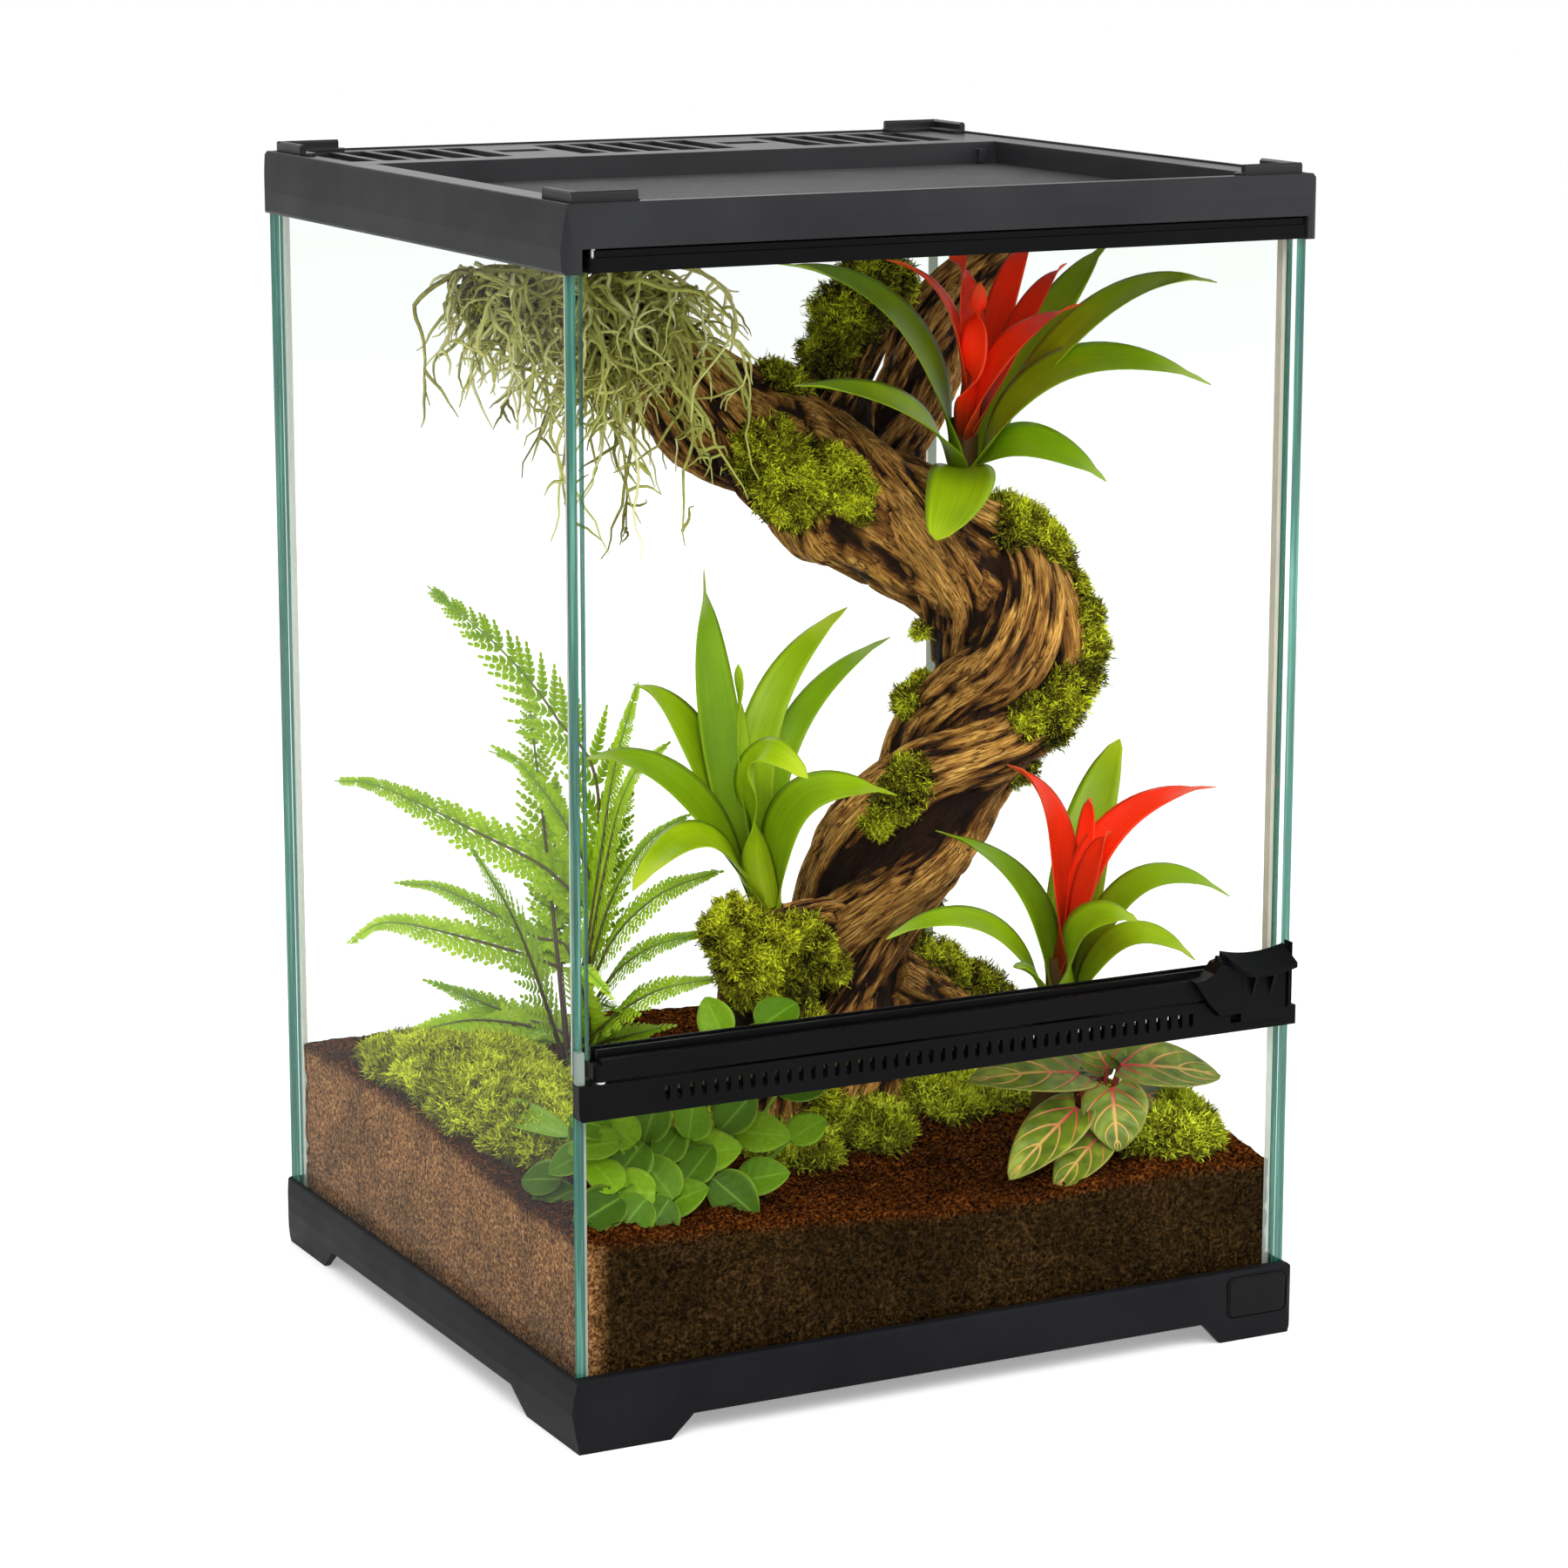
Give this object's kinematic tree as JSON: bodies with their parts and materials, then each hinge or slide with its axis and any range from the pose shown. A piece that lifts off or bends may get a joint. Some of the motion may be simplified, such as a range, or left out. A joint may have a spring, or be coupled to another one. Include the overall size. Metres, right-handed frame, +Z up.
{
  "type": "reptile terrarium",
  "caption": "Upright front-opening glass terrarium: black base and top frames, hinged door with a latch over a vent strip, lift-off screen lid with cable ports, planted interior.",
  "frame": {"origin": "middle of the whole object's footprint, on the surface it stands on", "axes": "+Z up, -Y towards the door, +X to the viewer's right when facing the door"},
  "size_m": [0.318, 0.31, 0.469],
  "materials": {
    "frame_black": "satin black moulded plastic",
    "trim_black": "deep black satin plastic",
    "lid_grey": "dark grey satin plastic",
    "mesh_dark": "dark coated woven mesh",
    "pane": "clear float glass with green edges",
    "silicone": "translucent sealant",
    "seal_strip": "translucent cream strip",
    "hinge_grey": "translucent grey-green plastic",
    "pin_steel": "bright steel",
    "soil": "dark brown coir and bark soil",
    "driftwood": "weathered red-brown wood",
    "moss_green": "soft yellow-green moss",
    "hanging_moss": "pale grey-green strands",
    "leaf_green": "smooth green leaves",
    "bract_red": "glossy orange-red bracts",
    "fern_green": "fresh green fronds",
    "round_leaf": "small glossy green leaves",
    "veined_leaf": "olive leaves with yellow veins"
  },
  "bodies": {
    "tank": {"base_frame": "frame_black", "badge_plate": "trim_black", "bottom_glass": "pane", "left_glass": "pane", "right_glass": "pane", "back_glass": "pane", "front_lower_glass": "pane", "silicone_seams": "silicone", "door_stop_left": "seal_strip", "door_stop_right": "seal_strip", "hinge_block": "hinge_grey", "vent_strip": "trim_black", "vent_mesh": "mesh_dark", "top_frame": "frame_black", "hinge_pin_top": "pin_steel", "hinge_pin_bottom": "pin_steel", "hinge_washer": "pin_steel", "substrate": "soil", "driftwood": "driftwood", "driftwood_moss": "moss_green", "ground_moss": "moss_green", "spanish_moss": "hanging_moss", "bromeliad_upper": "leaf_green", "bracts_upper": "bract_red", "bromeliad_green": "leaf_green", "bromeliad_lower": "leaf_green", "bracts_lower": "bract_red", "fern": "fern_green", "round_leaf_plant": "round_leaf", "veined_leaf_plant": "veined_leaf"},
    "door": {"door_glass": "pane", "door_top_rail": "trim_black", "door_bottom_rail": "trim_black", "latch_pin": "pin_steel"},
    "latch": {"latch_lever": "trim_black", "latch_hook": "trim_black", "latch_spring": "pin_steel"},
    "lid": {"lid_frame": "lid_grey", "screen_mesh": "mesh_dark", "rear_mesh": "mesh_dark", "corner_guide_fl": "trim_black", "corner_guide_fr": "trim_black", "corner_guide_bl": "trim_black", "corner_guide_br": "trim_black"},
    "slider_left": {"cable_slider_left": "lid_grey"},
    "slider_right": {"cable_slider_right": "lid_grey"}
  },
  "joints": [
    {"name": "door_hinge", "type": "hinge", "parent": "tank", "child": "door", "pos_m": [-0.147, -0.142, 0.3], "axis": [0, 0, -1], "range_deg": [0, 110]},
    {"name": "latch_lift", "type": "hinge", "parent": "door", "child": "latch", "pos_m": [0.139, -0.1462, 0.1564], "axis": [-1, 0, 0], "range_deg": [0, 9], "stiffness_Nm_per_rad": 0.05, "springref_deg": -8.59},
    {"name": "lid_lift", "type": "slide", "parent": "tank", "child": "lid", "axis": [0, 0, 1], "range_m": [0, 0.08]},
    {"name": "cable_slider_left", "type": "slide", "parent": "lid", "child": "slider_left", "axis": [0, -1, 0], "range_m": [0, 0.016]},
    {"name": "cable_slider_right", "type": "slide", "parent": "lid", "child": "slider_right", "axis": [0, -1, 0], "range_m": [0, 0.016]}
  ]
}
